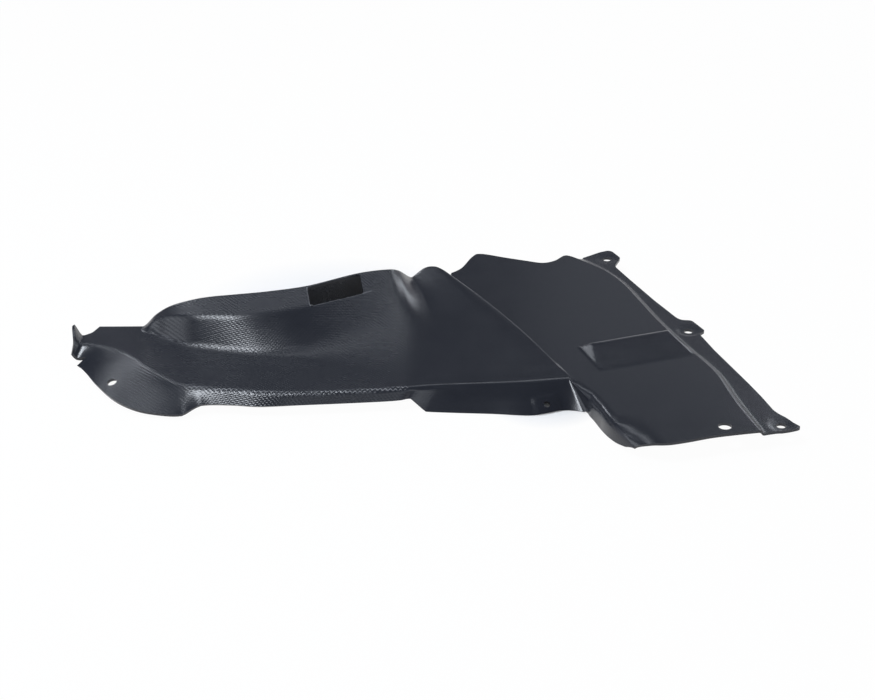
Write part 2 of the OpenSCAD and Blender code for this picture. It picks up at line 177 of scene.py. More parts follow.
def floorPoint(u, w):  # point at share w of the rib at place u
    crease, crest = curveAt(creaseLine, u), curveAt(crestLine, u)
    w = np.broadcast_to(w, np.shape(u))
    bow = curveAt(ribBow, u) * 4 * w * (1 - w)
    x = mix(crease[:, 0], crest[:, 0], w)
    y = mix(crease[:, 1], crest[:, 1], w)
    foot, brow, blend = curveAt(footAt, u), curveAt(browAt, u), footRound(u)
    steep = liner["faceShare"] / (brow - foot)
    gentle = (1 - liner["faceShare"]) / (1 - brow)
    rise = steep * ramp(w - foot, blend) + (gentle - steep) * ramp(w - brow, liner["browBlend"])
    z = liner["gutter"] + liner["mound"] * np.maximum(0, curveAt(moundRise, u)) * rise
    start = liner["finStart"]
    finShare = ramp(w - start, start) / (1 - start)
    z = z + liner["fin"] * np.maximum(0, curveAt(finRise, u)) * finShare
    fold = smooth((liner["flapFold"] - x) / liner["flapReach"][0])
    z = z + liner["flapRise"] * fold * smooth(y / liner["flapReach"][1] + 1)
    return np.stack([x + bow, y, z], axis=-1)


def skirtPoint(u):  # its lower edge steps down in a straight line
    stepsDown = ((u > liner["raisedRibs"] - 1) & (u < liner["raisedRibs"]))[:, None]
    edge = np.where(stepsDown, lineAt(skirtLine, u), curveAt(skirtLine, u))
    return np.concatenate([edge, lineAt(skirtHeight, u)[:, None]], axis=-1)


def ribRows(u):  # rows of the body from the skirt's lower edge to the hem, with their places
    foot, brow, blend = curveAt(footAt, u), curveAt(browAt, u), footRound(u)
    b = liner["browBlend"]
    skirt, crease, crest = skirtPoint(u), floorPoint(u, 0), floorPoint(u, 1)
    out = unit(crest[:, :2] - crease[:, :2]) * liner["hemLean"]
    hemZ = np.minimum(liner["gutter"] * lineAt(hemRise, u), crest[:, 2] - liner["hemUnder"])
    hem = np.concatenate([crest[:, :2] + out, hemZ[:, None]], axis=-1)

    def reach(corner, other):
        away = np.linalg.norm(other - corner, axis=-1)
        return np.minimum(liner["edge"], liner["edgeShare"] * away) / away

    down = mix(crease, skirt, reach(crease, skirt)[:, None])
    w1 = (foot - blend) * reach(crease, floorPoint(u, foot - blend))
    w2 = 1 - (1 - brow - b) * reach(crest, floorPoint(u, brow + b))
    wallTop = mix(crest, hem, reach(crest, hem)[:, None])
    first, last = floorPoint(u, w1), floorPoint(u, w2)
    parts = [  # number of rows, place at the start and at the end, points
        (14, 0, 2, lambda t: mix(skirt, down, t)),
        (8, 2, 4, lambda t: bend(down, crease, first, t)),
        (24, 4, 7, lambda t: floorPoint(u, mix(w1, foot - blend, t))),
        (18, 7, 10, lambda t: floorPoint(u, mix(foot - blend, foot + blend, t))),
        (20, 10, 13, lambda t: floorPoint(u, mix(foot + blend, brow - b, t))),
        (8, 13, 14, lambda t: floorPoint(u, mix(brow - b, brow + b, t))),
        (14, 14, 16, lambda t: floorPoint(u, mix(brow + b, w2, t))),
        (8, 16, 18, lambda t: bend(last, crest, wallTop, t)),
        (10, 18, 20, lambda t: mix(wallTop, hem, t)),
    ]
    rows, places = [], []
    for count, start, end, place in parts:
        for k in range(count):
            rows.append(place(k / count))
            places.append(mix(start, end, k / count))
    return np.array(rows + [hem]), np.array(places + [20.0])


# Body: ribs as columns, up to where the rounding of the ridge starts
ribCount = len(creaseLine)
lastRib, roundFrom = ribCount - 1.0, ribCount - 1.4
along = np.concatenate([np.arange(n) / n + k for k, n in enumerate(ribSteps)])
along = np.append(along[along < roundFrom - 0.05], roundFrom)
if len(along) % 2 == 0:  # the inner face takes every other column, so their number is odd
    along = np.insert(along, 1, along[1] / 2)
body, bodyPlaces = ribRows(along)
ridge = ribRows(np.array([lastRib]))[0][:, 0]
ridgeSide = ribRows(np.array([roundFrom]))[0][:, 0]
print("body rows", body.shape)


def wedgeHeight(x, y):  # the least of the raised wedge's four slopes, softened
    w = wedgeSize
    dx, dy = x - w["at"][0], y - w["at"][1]
    c, s = math.cos(math.radians(w["turn"])), math.sin(math.radians(w["turn"]))
    lengthways, across = dx * c + dy * s, dy * c - dx * s
    halfLength, halfDepth = w["length"] / 2, w["depth"] / 2
    rimReach, rimSlope = w["rim"]
    shares = [(halfDepth + across) / (w["depth"] - w["back"]), (halfDepth - across) / w["back"],
              1 - rimSlope * (across - halfDepth + w["back"] + rimReach),
              (halfLength + lengthways) / w["left"], (halfLength - lengthways) / w["right"]]
    least = -w["soft"] * np.log(sum(np.exp(-np.clip(v, -2, 4) / w["soft"]) for v in shares))
    return w["rise"] * ramp(least, w["foot"])


# Rows of the panel: the corner's rows first, then one for each row of the body
cornerSpacing = 0.2
lowerPlaces = np.arange(0, lowerRows, cornerSpacing)
places = np.concatenate([lowerPlaces, bodyPlaces + lowerRows])
hemLine = np.concatenate([curveAt(cornerHem + [tuple(ridge[0])], lowerPlaces), ridge])


def panelStart(j):  # the panel's left edge at row place j
    corner = curveAt(panelLeft, np.minimum(j, len(panelLeft) - 1))
    away = (j - len(panelLeft)) / (rowCount - len(panelLeft))
    beside = hemLine[:, :2] + mix(*np.array(liner["ridgeGap"]), away[:, None])
    return mix(corner, beside, np.clip(j - len(panelLeft) + 1, 0, 1)[:, None])


startLine = panelStart(places)
edgeLine = curveAt(flangeLine, lineAt(flangeRows, places))
frontShare, backShare = lineAt(frontKeep, places), lineAt(backKeep, places)
fallShare = lineAt(cornerFall, places)


def panelPoint(u):  # the panel's points at share u of every row
    u = np.broadcast_to(u, places.shape)
    frontOff = curveAt(panelFront, u * (len(panelFront) - 1))
    frontOff = frontOff - mix(startLine[0], np.array(flangeLine[0]), u[:, None])
    backOff = curveAt(panelBack, u * (len(panelBack) - 1))
    backOff = backOff - mix(startLine[-1], np.array(flangeLine[-1]), u[:, None])
    xy = mix(startLine, edgeLine, u[:, None])
    xy = xy + frontOff * frontShare[:, None] + backOff * backShare[:, None]
    fall = liner["cornerDrop"] * fallShare * (1 - np.clip(u / liner["cornerReach"], 0, 1)) ** 2
    z = liner["panel"] - fall + wedgeHeight(xy[:, 0], xy[:, 1])
    return np.concatenate([xy, z[:, None]], axis=-1)


# The panel's left side, as shares of the way from the ridge or the wall's foot to its top edge
leftSide = {"tip": 0.22, "wallTop": 0.5, "lean": 0.85, "plainAt": (0.6, 0.6, 0.85),
            "turnRows": 4.0, "flatFrom": 2.2, "firmRows": 1.3}
columnCounts = {"ridge": 4, "wall": 5, "wallBend": 13, "top": 110, "stepBend": 6, "step": 3,
                "beyond": 4, "flange": 5, "outer": 6}
topCrowding = 1.1  # above 1 the columns stand closer near the left side


def stretch(name, place):  # the columns of one stretch, at evenly spaced shares of it
    count = columnCounts[name]
    return [place(k / count) for k in range(count)]


def panelColumns():
    edge = panelPoint(1)
    lower = places < lowerRows
    flat = np.clip(places - lowerRows - leftSide["flatFrom"], 0, 1)[:, None]
    width = np.linalg.norm(edge - panelPoint(0), axis=-1)
    # The rounding grows from the front edge on and ends where the panel meets the ridge
    turned = smooth(places / leftSide["turnRows"])[:, None]
    roundShare = liner["wallRound"] / width * (1 - flat[:, 0]) * turned[:, 0]
    start = panelPoint(roundShare)
    inward = unit(panelPoint(roundShare + 2 / width) - start)
    away = np.linalg.norm((start - hemLine)[:, :2], axis=-1, keepdims=True)
    plain = mix(hemLine, start, np.array(leftSide["plainAt"]))
    corner = mix(plain, start - inward * away * leftSide["lean"], turned)
    corner = mix(corner, mix(hemLine, start, 0.5), flat)
    side = np.concatenate([np.repeat(hemLine[:1], lower.sum(), 0), ridgeSide])
    tip = mix(hemLine, corner, leftSide["tip"])

    def ridgeOrFoot(t):  # the second half of the ridge's rounding, or the foot of the wall
        rounding = bend(side, hemLine, tip, 0.5 + t / 2)
        return np.where(lower[:, None], mix(hemLine, tip, t), rounding)

    wallTop = mix(hemLine, corner, leftSide["wallTop"])
    stop = 1 - liner["stepRound"] / width
    columns = stretch("ridge", ridgeOrFoot)
    columns += stretch("wall", lambda t: mix(tip, wallTop, t))
    columns += stretch("wallBend", lambda t: bend(wallTop, corner, start, t))
    columns += stretch("top", lambda t: panelPoint(mix(roundShare, stop, t ** topCrowding)))
    # The flange spreads over the last rows to the back and the first rows to the front
    backReach = liner["flangeBack"] * smooth((places - rowCount + 5) / 4)
    frontReach = liner["flangeFront"] * smooth((3 - places) / 3)
    outX, outY = liner["flangeOut"]
    flangeZ = np.full(places.shape, liner["panel"] - liner["flangeDrop"])

    def flangePoint(out, back):
        x, y = edge[:, 0] + outX * out, edge[:, 1] + outY * out + back - frontReach
        return np.stack([x, y, flangeZ], axis=-1)

    foot = flangePoint(liner["stepWidth"], backReach * liner["footShare"])
    outer = [flangePoint(out, backReach) for out in liner["flangeColumns"]]
    r = liner["stepRound"] / np.linalg.norm(foot - edge, axis=-1)[:, None]
    top, low = mix(edge, foot, r), mix(foot, edge, r)
    beyond = mix(foot, outer[0], liner["beyondShare"])
    columns += stretch("stepBend", lambda t: bend(panelPoint(stop), edge, top, t))
    columns += stretch("step", lambda t: mix(top, low, t))
    columns += stretch("stepBend", lambda t: bend(low, foot, beyond, t))
    columns += stretch("beyond", lambda t: mix(beyond, outer[0], t))
    columns += stretch("flange", lambda t: mix(outer[0], outer[1], t))
    columns += stretch("outer", lambda t: mix(outer[1], outer[2], t)) + [outer[2]]
    return np.stack(columns, axis=1)


panel = panelColumns()
ridgeTip = panel[len(lowerPlaces):, columnCounts["ridge"]]
firstHalf = stretch("ridge", lambda t: bend(ridgeSide, ridge, ridgeTip, t / 2))
ridgeHalf = np.stack(firstHalf, axis=1)
body = np.concatenate([body[:, :-1], ridgeHalf], axis=1)
print("panel rows", panel.shape, "body", body.shape)

# The whole grid: the corner's rows exist only in the panel
cornerRows, bodyColumns = len(lowerPlaces), body.shape[1]
gridRows, gridColumns = panel.shape[0], body.shape[1] + panel.shape[1]
outer = np.zeros((gridRows, gridColumns, 3))
outer[:, bodyColumns:] = panel
outer[cornerRows:, :bodyColumns] = body
exists = np.zeros((gridRows, gridColumns), bool)
exists[:, bodyColumns:] = True
exists[cornerRows:] = True


def surfaceNormals(points):  # unit normals of a grid of points
    normals = np.cross(np.gradient(points, axis=1), np.gradient(points, axis=0))
    return normals / np.maximum(np.linalg.norm(normals, axis=-1, keepdims=True), 1e-9)


def gridNormals(points):  # the same for the whole grid, whose body has no corner rows
    normals = np.zeros_like(points)
    normals[:, bodyColumns:] = surfaceNormals(points[:, bodyColumns:])
    normals[cornerRows:] = surfaceNormals(points[cornerRows:])
    return normals


def averaged(values, reach):  # box average over the grid, to both sides
    for axis in (0, 1):
        pad = [(reach, reach) if k == axis else (0, 0) for k in range(values.ndim)]
        padded = np.pad(values, pad, mode="edge")
        count = values.shape[axis]
        values = sum(np.take(padded, range(k, k + count), axis) for k in range(2 * reach + 1))
        values = values / (2 * reach + 1)
    return values


# Small forms on the sheet: the raised pad on the skirt and the seats around the tabs' bores
pad = {"rib": 17.4, "share": 0.26, "width": 22.0, "above": 9.0, "below": 12.0, "proud": 0.8,
       "soft": 1.6}
seat = {"width": 19.0, "deep": 0.6, "soft": 3.0, "at": [(295, -152), (235, 24), (172, 179)]}
bores = {"left": 9.0, "skirt": 6.0, "panel": 11.5, "tab": 8.5, "panelAt": (247, -161),
         "leftOn": (3.6, 0.28)}


def slopeFrame(rib, share):  # place, normal, downhill and sideways directions on the skirt
    def at(u, w):
        u = np.array([u])
        return mix(skirtPoint(u), floorPoint(u, 0), w)[0]

    ribStep, shareStep = 0.2, 0.1
    alongRibs = at(rib + ribStep, share) - at(rib - ribStep, share)
    upRib = at(rib, share + shareStep) - at(rib, share - shareStep)
    normal = unit(np.cross(alongRibs, upRib))
    down = unit(np.array([normal[0], normal[1], 0]) - normal * (normal[0] ** 2 + normal[1] ** 2))
    return at(rib, share), normal, down, np.cross(normal, down)


padAt, padUp, padDown, padSide = slopeFrame(pad["rib"], pad["share"])
skirtRows = slice(cornerRows, cornerRows + 26)  # the skirt and the crease above it
away = outer[skirtRows, :bodyColumns] - padAt
downhill, sideways = away @ padDown, away @ padSide
inside = smooth((pad["width"] / 2 - np.abs(sideways)) / pad["soft"] + 0.5)
inside *= smooth((downhill + pad["above"]) / pad["soft"] + 0.5)
inside *= smooth((pad["below"] - downhill) / pad["soft"] + 0.5)
outer[skirtRows, :bodyColumns] += (pad["proud"] * inside)[..., None] * padUp
for x, y in seat["at"]:
    away = np.hypot(outer[..., 0] - x, outer[..., 1] - y)
    outer[..., 2] -= seat["deep"] * smooth((seat["width"] / 2 - away) / seat["soft"] + 0.5)

# Inner face: the wall's thickness below the outer one, along softened normals
normals = gridNormals(outer)
softCells, cornerCells, lowHeight = 3, 24, 1.0
nearCorner = np.zeros((gridRows, gridColumns, 1))  # the direction turns slowly round the corner
cornerShare = smooth(leftSide["firmRows"] - places / leftSide["turnRows"])
nearCorner[:, bodyColumns:, 0] = cornerShare[:, None]
softNormals = mix(averaged(normals, softCells), averaged(normals, cornerCells), nearCorner)
softNormals[outer[..., 2] < lowHeight, 2] = 0  # sideways where the sheet meets the ground
inner = outer - liner["wall"] * unit(softNormals + 1e-9)
inner[..., 2] = np.maximum(inner[..., 2], 0)

# Weave coordinates: x along the part, and the length over the sheet across it
step = np.diff(outer, axis=0, prepend=outer[:1])
over = np.cumsum(np.hypot(step[..., 1], step[..., 2]), axis=0)
creaseIndex = cornerRows + 18  # the row in the middle of the front crease
over = over - over[creaseIndex] + outer[creaseIndex, :, 1]
weaveU, weaveV = outer[..., 0].copy(), np.where(exists, over, 0)
weaveV[:, bodyColumns:] = outer[:, bodyColumns:, 1]

# Zones: how strong the grain is, and where the creases show it hardest and take the painted
# highlight. Each band has a row place with its width, the rib where it starts and the rib where it
# ends, both with their fades
zones = {
    "fin": (12.2, 2.4, 0.85), "panelGrain": 0.12, "flangeGrain": 0.5, "flangeColumns": 27,
    "leftEnd": (5.5, 1.5, 0.45), "leftSkirt": (9.0, 1.5, 0.6), "skirtTop": (3.0, 1.5),
    "bands": [((3.2, 0.75), (7.0, 0.6), (13.6, 0.5), 1.0),
              ((8.5, 0.5), (5.2, 0.5), (11.5, 2.5), 0.6)],
}


def before(place, end):  # 1 well before an end, 0 after it
    return smooth((end[0] - place) / end[1])


columnRib = np.concatenate([along[:-1], np.full(gridColumns - len(along) + 1, lastRib)])
rowPlace = places - lowerRows
finFrom, finFade, finLoss = zones["fin"]
grain = np.ones((gridRows, gridColumns)) * (1 - finLoss * smooth((columnRib - finFrom) / finFade))
grain[:, bodyColumns:] = zones["panelGrain"]
grain[:, -zones["flangeColumns"]:] = zones["flangeGrain"]
grain *= 1 - zones["leftEnd"][2] * before(columnRib, zones["leftEnd"])
skirtPart = before(rowPlace, zones["skirtTop"])[:, None]
grain *= 1 - zones["leftSkirt"][2] * before(columnRib, zones["leftSkirt"]) * skirtPart
creaseBand = np.zeros((gridRows, gridColumns))
for (middle, spread), start, end, strength in zones["bands"]:
    across = np.exp(-((rowPlace - middle) / spread) ** 2)[:, None]
    lengthways = smooth((columnRib - start[0]) / start[1]) * before(columnRib, end)
    creaseBand += strength * across * lengthways
print("grid ready", outer.shape)


def validated(mesh):
    mesh.validate()
    mesh.update()
    return mesh


def sheetMesh():  # the outer face on every row and column, the inner face on every other one
    outerId = np.full((gridRows, gridColumns), -1)
    outerId[exists] = np.arange(exists.sum())
    coarse = exists[::2, ::2]
    innerId = np.full(coarse.shape, -1)
    innerId[coarse] = np.arange(coarse.sum()) + exists.sum()
    faces = []
    a, b, c, d = outerId[:-1, :-1], outerId[:-1, 1:], outerId[1:, 1:], outerId[1:, :-1]
    whole = (a >= 0) & (b >= 0) & (c >= 0) & (d >= 0)
    faces += np.stack([a[whole], b[whole], c[whole], d[whole]], axis=-1).tolist()
    a, b, c, d = innerId[:-1, :-1], innerId[:-1, 1:], innerId[1:, 1:], innerId[1:, :-1]
    cell = (a >= 0) & (b >= 0) & (c >= 0) & (d >= 0)
    faces += np.stack([a[cell], d[cell], c[cell], b[cell]], axis=-1).tolist()
    framed = np.pad(cell, 1)
    for j, i in zip(*np.nonzero(cell)):
        y, x = 2 * j, 2 * i
        if not framed[j, i + 1]:
            faces.append([innerId[j, i], innerId[j, i + 1], outerId[y, x + 2], outerId[y, x + 1],
                          outerId[y, x]])
        if not framed[j + 2, i + 1]:
            faces.append([innerId[j + 1, i + 1], innerId[j + 1, i], outerId[y + 2, x],
                          outerId[y + 2, x + 1], outerId[y + 2, x + 2]])
        if not framed[j + 1, i]:
            faces.append([innerId[j + 1, i], innerId[j, i], outerId[y, x], outerId[y + 1, x],
                          outerId[y + 2, x]])
        if not framed[j + 1, i + 2]:
            faces.append([innerId[j, i + 1], innerId[j + 1, i + 1], outerId[y + 2, x + 2],
                          outerId[y + 1, x + 2], outerId[y, x + 2]])

    def both(values):
        return np.concatenate([values[exists], values[::2, ::2][coarse]])

    points = np.concatenate([outer[exists], inner[::2, ::2][coarse]])
    points[:, :2] -= liner["planCentre"]
    mesh = bpy.data.meshes.new("archLiner")
    mesh.from_pydata((points * mm).tolist(), [], faces)
    mesh = validated(mesh)
    corner = np.zeros(len(mesh.loops), int)
    mesh.loops.foreach_get("vertex_index", corner)
    layers = {"weave": (both(weaveU) * mm, both(weaveV) * mm),
              "zone": (both(grain), both(creaseBand))}
    for name, (u, v) in layers.items():
        layer = mesh.uv_layers.new(name=name)
        layer.data.foreach_set("uv", np.stack([u[corner], v[corner]], axis=-1).ravel())
    return mesh


def placed(name, data):  # a new object of a mesh, lamp or camera
    item = bpy.data.objects.new(name, data)
    bpy.context.scene.collection.objects.link(item)
    return item


def closedBody(name, lowRing, highRing):  # a tool's body between two rings of points
    n = len(lowRing)
    faces = [list(range(n))[::-1], list(range(n, 2 * n))]
    faces += [[k, (k + 1) % n, (k + 1) % n + n, k + n] for k in range(n)]
    points = (np.concatenate([lowRing, highRing]) - [*liner["planCentre"], 0]) * mm
    mesh = bpy.data.meshes.new(name)
    mesh.from_pydata(points.tolist(), [], faces)
    return placed(name, validated(mesh))


def prism(name, outline, low, high):  # upright prism over a plan outline
    return closedBody(name, *[[(x, y, z) for x, y in outline] for z in (low, high)])


def rounded(outline, radius, steps=5, sideShare=0.42):  # a plan outline with rounded corners
    points = np.array(outline, float)
    result = []
    for k, corner in enumerate(points):
        before, after = points[k - 1], points[(k + 1) % len(points)]
        reachA = min(radius, sideShare * np.linalg.norm(before - corner))
        reachB = min(radius, sideShare * np.linalg.norm(after - corner))
        a = corner + unit(before - corner) * reachA
        b = corner + unit(after - corner) * reachB
        result += [bend(a, corner, b, t / steps) for t in range(steps + 1)]
    return [tuple(p) for p in result]


def boreTool(name, at, up, width, reach=12.0, sides=48):
    side = unit(np.cross(up, [0.0, 1.0, 0.001]))
    other = np.cross(up, side)
    angles = np.arange(sides) / sides * 2 * math.pi
    ring = np.outer(np.cos(angles), side) + np.outer(np.sin(angles), other)
    return closedBody(name, at + ring * width / 2 - up * reach, at + ring * width / 2 + up * reach)


# The cut-out's own axes: half its length and depth, the shift of its slanted ends, its turn
windowHalf = (windowSize["length"] / 2, windowSize["depth"] / 2)
windowSlant = math.tan(math.radians(windowSize["lean"]))
windowTurn = math.radians(windowSize["turn"])


def onWindow(points):  # from the cut-out's own axes to the plan
    c, s = math.cos(windowTurn), math.sin(windowTurn)
    return np.array(points) @ np.array([[c, s], [-s, c]]) + windowSize["at"]


def windowTool():
    w, d = windowHalf
    shift = d * windowSlant
    corners = [(-w - shift, -d), (w - shift, -d), (w + shift, d), (-w + shift, d)]
    outline = onWindow(rounded(corners, windowSize["corner"]))
    low = liner["gutter"] + liner["mound"] / 3
    return prism("windowTool", outline, low, windowSize["toolTop"])


def burrTool():  # the small burr at the window's lower left corner
    w, d = windowHalf
    inX, inY = windowSize["burrInside"]
    at = onWindow((-w - d * windowSlant + inX, -d + inY))
    gap = np.where(exists, np.hypot(outer[..., 0] - at[0], outer[..., 1] - at[1]), np.inf)
    z = outer[np.unravel_index(np.argmin(gap), gap.shape)][2]
    place = (np.array([*at, z]) - [*liner["planCentre"], 0]) * mm
    bpy.ops.mesh.primitive_ico_sphere_add(subdivisions=3, radius=mm, location=place.tolist())
    tool = bpy.context.object
    tool.scale = windowSize["burr"]
    tool.rotation_euler = (*windowSize["burrTilt"], windowTurn)
    bpy.context.view_layer.update()
    return tool


def cut(item, operation, tools):  # keeps, takes away or joins on what the tools hold
    for tool in tools:
        change = item.modifiers.new("cut", "BOOLEAN")
        change.operation, change.solver, change.object = operation, "MANIFOLD", tool
    shown = item.evaluated_get(bpy.context.evaluated_depsgraph_get())
    mesh = bpy.data.meshes.new_from_object(shown)
    item.modifiers.clear()
    item.data = mesh
    for tool in tools:
        bpy.data.objects.remove(tool)


archLiner = placed("archLiner", sheetMesh())
print("sheet", len(archLiner.data.polygons))
trim = {"corner": 2.6, "low": -20.0, "high": 100.0}
trimTool = prism("trimTool", rounded(trimOutline, trim["corner"]), trim["low"], trim["high"])
cut(archLiner, "INTERSECT", [trimTool])
upright = np.array([0.0, 0.0, 1.0])
leftAt, leftUp = slopeFrame(*bores["leftOn"])[:2]
panelAt = np.array([*bores["panelAt"], liner["panel"]])
tabHeight = liner["panel"] - liner["flangeDrop"]
boreTools = [boreTool("leftTool", leftAt, leftUp, bores["left"]),
             boreTool("skirtTool", padAt, padUp, bores["skirt"]),
             boreTool("panelTool", panelAt, upright, bores["panel"])]
boreTools += [boreTool(f"tabTool{k}", np.array([x, y, tabHeight]), upright, bores["tab"])
              for k, (x, y) in enumerate(seat["at"])]
cut(archLiner, "DIFFERENCE", boreTools + [windowTool()])
cut(archLiner, "UNION", [burrTool()])
sharpFrom = math.radians(38)
archLiner.data.polygons.foreach_set("use_smooth", [True] * len(archLiner.data.polygons))
archLiner.data.set_sharp_from_angle(angle=sharpFrom)
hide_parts("arch_liner")
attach(archLiner, "root")
print("liner cut", len(archLiner.data.polygons))


class Wire:  # one value of a shader; sums on it add Math nodes
    def __init__(self, finish, socket):
        self.finish, self.socket = finish, socket

    def maths(self, operation, first, second=None):
        inputs = {0: first} if second is None else {0: first, 1: second}
        return self.finish.node("ShaderNodeMath", {"operation": operation}, inputs)

    def __add__(self, other):
        return self.maths("ADD", self, other)

    def __radd__(self, other):
        return self.maths("ADD", other, self)

    def __sub__(self, other):
        return self.maths("SUBTRACT", self, other)

    def __rsub__(self, other):
        return self.maths("SUBTRACT", other, self)

    def __mul__(self, other):
        return self.maths("MULTIPLY", self, other)

    def __rmul__(self, other):
        return self.maths("MULTIPLY", other, self)

    def __truediv__(self, other):
        return self.maths("DIVIDE", self, other)

    def __rtruediv__(self, other):
        return self.maths("DIVIDE", other, self)

    def sine(self):
        return self.maths("SINE", self)

    def absolute(self):
        return self.maths("ABSOLUTE", self)

    def least(self, other):
        return self.maths("MINIMUM", self, other)

    def clipped(self):
        return self.maths("MAXIMUM", self, 0.0).least(1.0)


class Finish:  # a material or world under construction
    def __init__(self, owner):
        owner.use_nodes = True
        self.tree = owner.node_tree
        self.tree.nodes.clear()

    def node(self, kind, settings=None, inputs=None, output=0):
        made = self.tree.nodes.new(kind)
        for key, value in (settings or {}).items():
            if key == "stops":
                ramp = made.color_ramp
                while len(ramp.elements) < len(value):
                    ramp.elements.new(0.5)
                for element, (place, colour) in zip(ramp.elements, value):
                    element.position, element.color = place, colour
            else:
                setattr(made, key, value)
        for key, value in (inputs or {}).items():
            socket = made.inputs[key]
            if isinstance(value, Wire):
                self.tree.links.new(value.socket, socket)
            else:
                socket.default_value = value
        return Wire(self, made.outputs[output]) if made.outputs else None

    def blend(self, factor, first, second):
        inputs = {0: factor, 6: first, 7: second}
        return self.node("ShaderNodeMix", {"data_type": "RGBA"}, inputs, 2)

    def part(self, vector, index):
        return self.node("ShaderNodeSeparateXYZ", inputs={0: vector}, output=index)


# Moulded plastic: satin blue-black with a fine woven grain pressed into its outer face.
# Pitches, depths and widths are in metres
plastic = {
    # The pale colour for the crease tops and the cut edges is a painted highlight
    "colour": (0.018, 0.020, 0.027, 1), "worn": (0.023, 0.025, 0.033, 1),
    "pitShade": (0.015, 0.017, 0.023, 1), "glintColour": (0.2, 0.205, 0.22, 1),
    "roughness": 0.22, "specular": 0.5,
    "rowPitch": 0.0019, "dashPitch": 0.0032, "dashShare": 0.55, "grainTilt": 0.16,
    "grainDepth": 0.00007,
    "knurlPitch": 0.0043, "knurlRows": 0.0040, "knurlSwing": 1.5,
    "glintFrom": 0.45, "glintGain": 2.2, "creaseGain": 1.5, "creaseFrom": 0.35,
    "cutEdgeGlint": 0.0009, "cutEdgeShare": 0.7,
    "cloudScale": 38.0, "speckScale": 900.0, "streakScale": (6.0, 260.0, 60.0),
    "wearGain": 1.6, "wearFrom": 0.55, "wearShare": 0.35,
    "cloudRough": 0.08, "grainRough": 0.05, "streakRough": 0.06,
    "knurlBump": 1.6, "speckBump": 0.3, "streakBump": 0.25,
}


def windowEdgeGlint(f, place):  # 1 on the cut edge along the window's left and lower side, which gets a painted highlight
    w, d = windowHalf[0] * mm, windowHalf[1] * mm
    edge = plastic["cutEdgeGlint"]
    dx = f.part(place, 0) - (windowSize["at"][0] - liner["planCentre"][0]) * mm
    dy = f.part(place, 1) - (windowSize["at"][1] - liner["planCentre"][1]) * mm
    p = dx * math.cos(windowTurn) + dy * math.sin(windowTurn)
    q = dy * math.cos(windowTurn) - dx * math.sin(windowTurn)
    left, lower = (p + w - q * windowSlant).absolute(), (q + d).absolute()
    near = (1 - left.least(lower) / edge).clipped()
    beside = ((w + d * windowSlant + edge - p.absolute()) / mm).clipped()
    return near * beside * ((d + edge - q.absolute()) / mm).clipped()


def noise(f, place, scale, detail):
    inputs = {"Vector": place, "Scale": scale, "Detail": detail}
    return f.node("ShaderNodeTexNoise", inputs=inputs)


def mouldedPlastic():
    material = bpy.data.materials.new("mouldedPlastic")
    f = Finish(material)
    weave = f.node("ShaderNodeUVMap", {"uv_map": "weave"})
    zone = f.node("ShaderNodeUVMap", {"uv_map": "zone"})
    u, v = f.part(weave, 0), f.part(weave, 1)
    grainHere, creaseHere = f.part(zone, 0), f.part(zone, 1)
    place = f.node("ShaderNodeTexCoord", output="Object")
    # Rows of the grain, each broken into short dashes
    rows = (v - u * plastic["grainTilt"]) * (2 * math.pi / plastic["rowPitch"])
    dashes = u * (2 * math.pi / plastic["dashPitch"]) + rows * 0.5
    dashShare = plastic["dashShare"]
    weaveHeight = rows.sine() * (1 - dashShare + dashes.sine() * dashShare)
    # The zigzag of the grain along the creases, and a painted highlight on its tops
    swing = (u * (2 * math.pi / plastic["knurlPitch"])).sine() * plastic["knurlSwing"]
    knurl = (v * (2 * math.pi / plastic["knurlRows"]) + swing).sine()
    # painted highlight: the tops of the crease zigzag made pale in the colour
    glint = ((knurl - plastic["glintFrom"]) * plastic["glintGain"]).clipped()
    glint = glint * (creaseHere * plastic["creaseGain"] - plastic["creaseFrom"]).clipped()
    cloud = noise(f, place, plastic["cloudScale"], 3.0)
    speck = noise(f, place, plastic["speckScale"], 2.0)
    stretched = f.node("ShaderNodeVectorMath", {"operation": "MULTIPLY"},
                       {0: place, 1: plastic["streakScale"]})
    streak = noise(f, stretched, 1.0, 2.0)
    lift = (weaveHeight * grainHere * 0.5 + 0.5).clipped()
    wear = (cloud * plastic["wearGain"] - plastic["wearFrom"]).clipped() * plastic["wearShare"]
    # painted shade: the grain's low parts are coloured darker
    colour = f.blend(lift, plastic["pitShade"], plastic["colour"])
    colour = f.blend(wear, colour, plastic["worn"])
    # paints the crease zigzag's highlight into the colour
    colour = f.blend(glint, colour, plastic["glintColour"])
    # painted highlight on the window's cut edges
    cutEdgeGlint = windowEdgeGlint(f, place) * plastic["cutEdgeShare"]
    colour = f.blend(cutEdgeGlint, colour, plastic["glintColour"])
    roughness = (plastic["roughness"] + (cloud - 0.5) * plastic["cloudRough"]
                 + grainHere * plastic["grainRough"] + (streak - 0.5) * plastic["streakRough"])
    height = (weaveHeight * grainHere + knurl * creaseHere * plastic["knurlBump"]
              + (speck - 0.5) * plastic["speckBump"] + (streak - 0.5) * plastic["streakBump"])
    bump = f.node("ShaderNodeBump", inputs={
        "Height": height, "Distance": plastic["grainDepth"], "Strength": 1.0})
    shader = f.node("ShaderNodeBsdfPrincipled", inputs={
        "Base Color": colour, "Roughness": roughness, "Normal": bump,
        "Specular IOR Level": plastic["specular"], "Metallic": 0.0})
    f.node("ShaderNodeOutputMaterial", inputs={"Surface": shader})
    return material


archLiner.data.materials.clear()
archLiner.data.materials.append(mouldedPlastic())
print("finish set")

